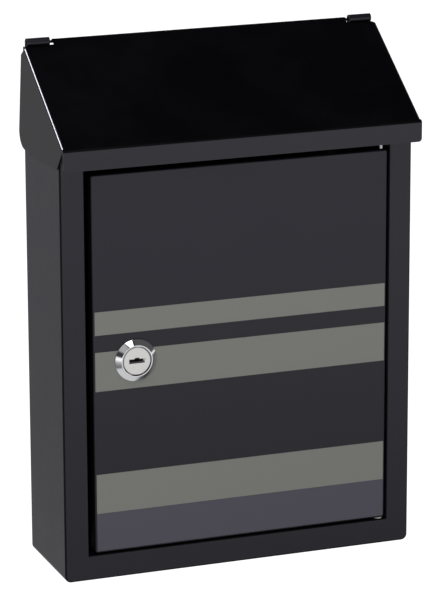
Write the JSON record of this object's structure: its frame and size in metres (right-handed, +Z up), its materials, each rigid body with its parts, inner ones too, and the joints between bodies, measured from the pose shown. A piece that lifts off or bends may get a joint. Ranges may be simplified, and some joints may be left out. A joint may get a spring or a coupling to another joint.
{
  "type": "wall mounted mailbox",
  "caption": "Shallow folded steel letter box for a wall, with a sloping hinged lid over the mail mouth and a framed front door with a cam lock.",
  "frame": {"origin": "on the back panel's rear face, at the centre of its four screw holes, 180 mm above the underside of the floor", "axes": "+Z up, -Y out of the front, +Y into the wall, +X to the right as seen from the front"},
  "size_m": [0.2692, 0.091, 0.3737],
  "materials": {
    "black_powder_coat": "smooth satin polyester powder coat on steel",
    "gloss_black_coat": "the lid's semi-gloss powder coat on steel",
    "chrome_plate": "polished chrome on die-cast zinc",
    "satin_nickel": "satin nickel on die-cast zinc",
    "zinc_plate": "bright zinc plated steel",
    "brass": "stamped brass",
    "nylon": "natural nylon",
    "grey_green_film": "satin self-adhesive vinyl",
    "violet_grey_film": "satin self-adhesive vinyl"
  },
  "bodies": {
    "box": {"casing": "black_powder_coat", "back_panel": "black_powder_coat", "front_rail": "black_powder_coat", "upper_door_pin": "zinc_plate", "lower_door_pin": "zinc_plate", "door_washer": "nylon"},
    "lid": {"lid": "gloss_black_coat"},
    "door": {"door": "black_powder_coat", "base_band": "violet_grey_film", "lower_stripe": "grey_green_film", "middle_stripe": "grey_green_film", "upper_stripe": "grey_green_film", "lock_housing": "chrome_plate", "lock_washer": "zinc_plate", "lock_nut": "zinc_plate"},
    "lock_core": {"lock_plug": "satin_nickel", "wafer_1": "brass", "wafer_2": "brass", "wafer_3": "brass", "wafer_4": "brass", "wafer_5": "brass", "stop_washer": "zinc_plate", "lock_cam": "zinc_plate", "cam_washer": "zinc_plate", "cam_screw": "zinc_plate"}
  },
  "joints": [
    {"name": "lid_hinge", "type": "hinge", "parent": "box", "child": "lid", "pos_m": [0, -0.0029, 0.19084], "axis": [-1, 0, 0], "range_deg": [0, 120]},
    {"name": "door_hinge", "type": "hinge", "parent": "box", "child": "door", "pos_m": [0.1082, -0.0729, -0.0255], "axis": [0, 0, 1], "range_deg": [0, 105]},
    {"name": "key_turn", "type": "hinge", "parent": "door", "child": "lock_core", "pos_m": [-0.0765, -0.0765, -0.0227], "axis": [0, 1, 0], "range_deg": [0, 90]}
  ]
}
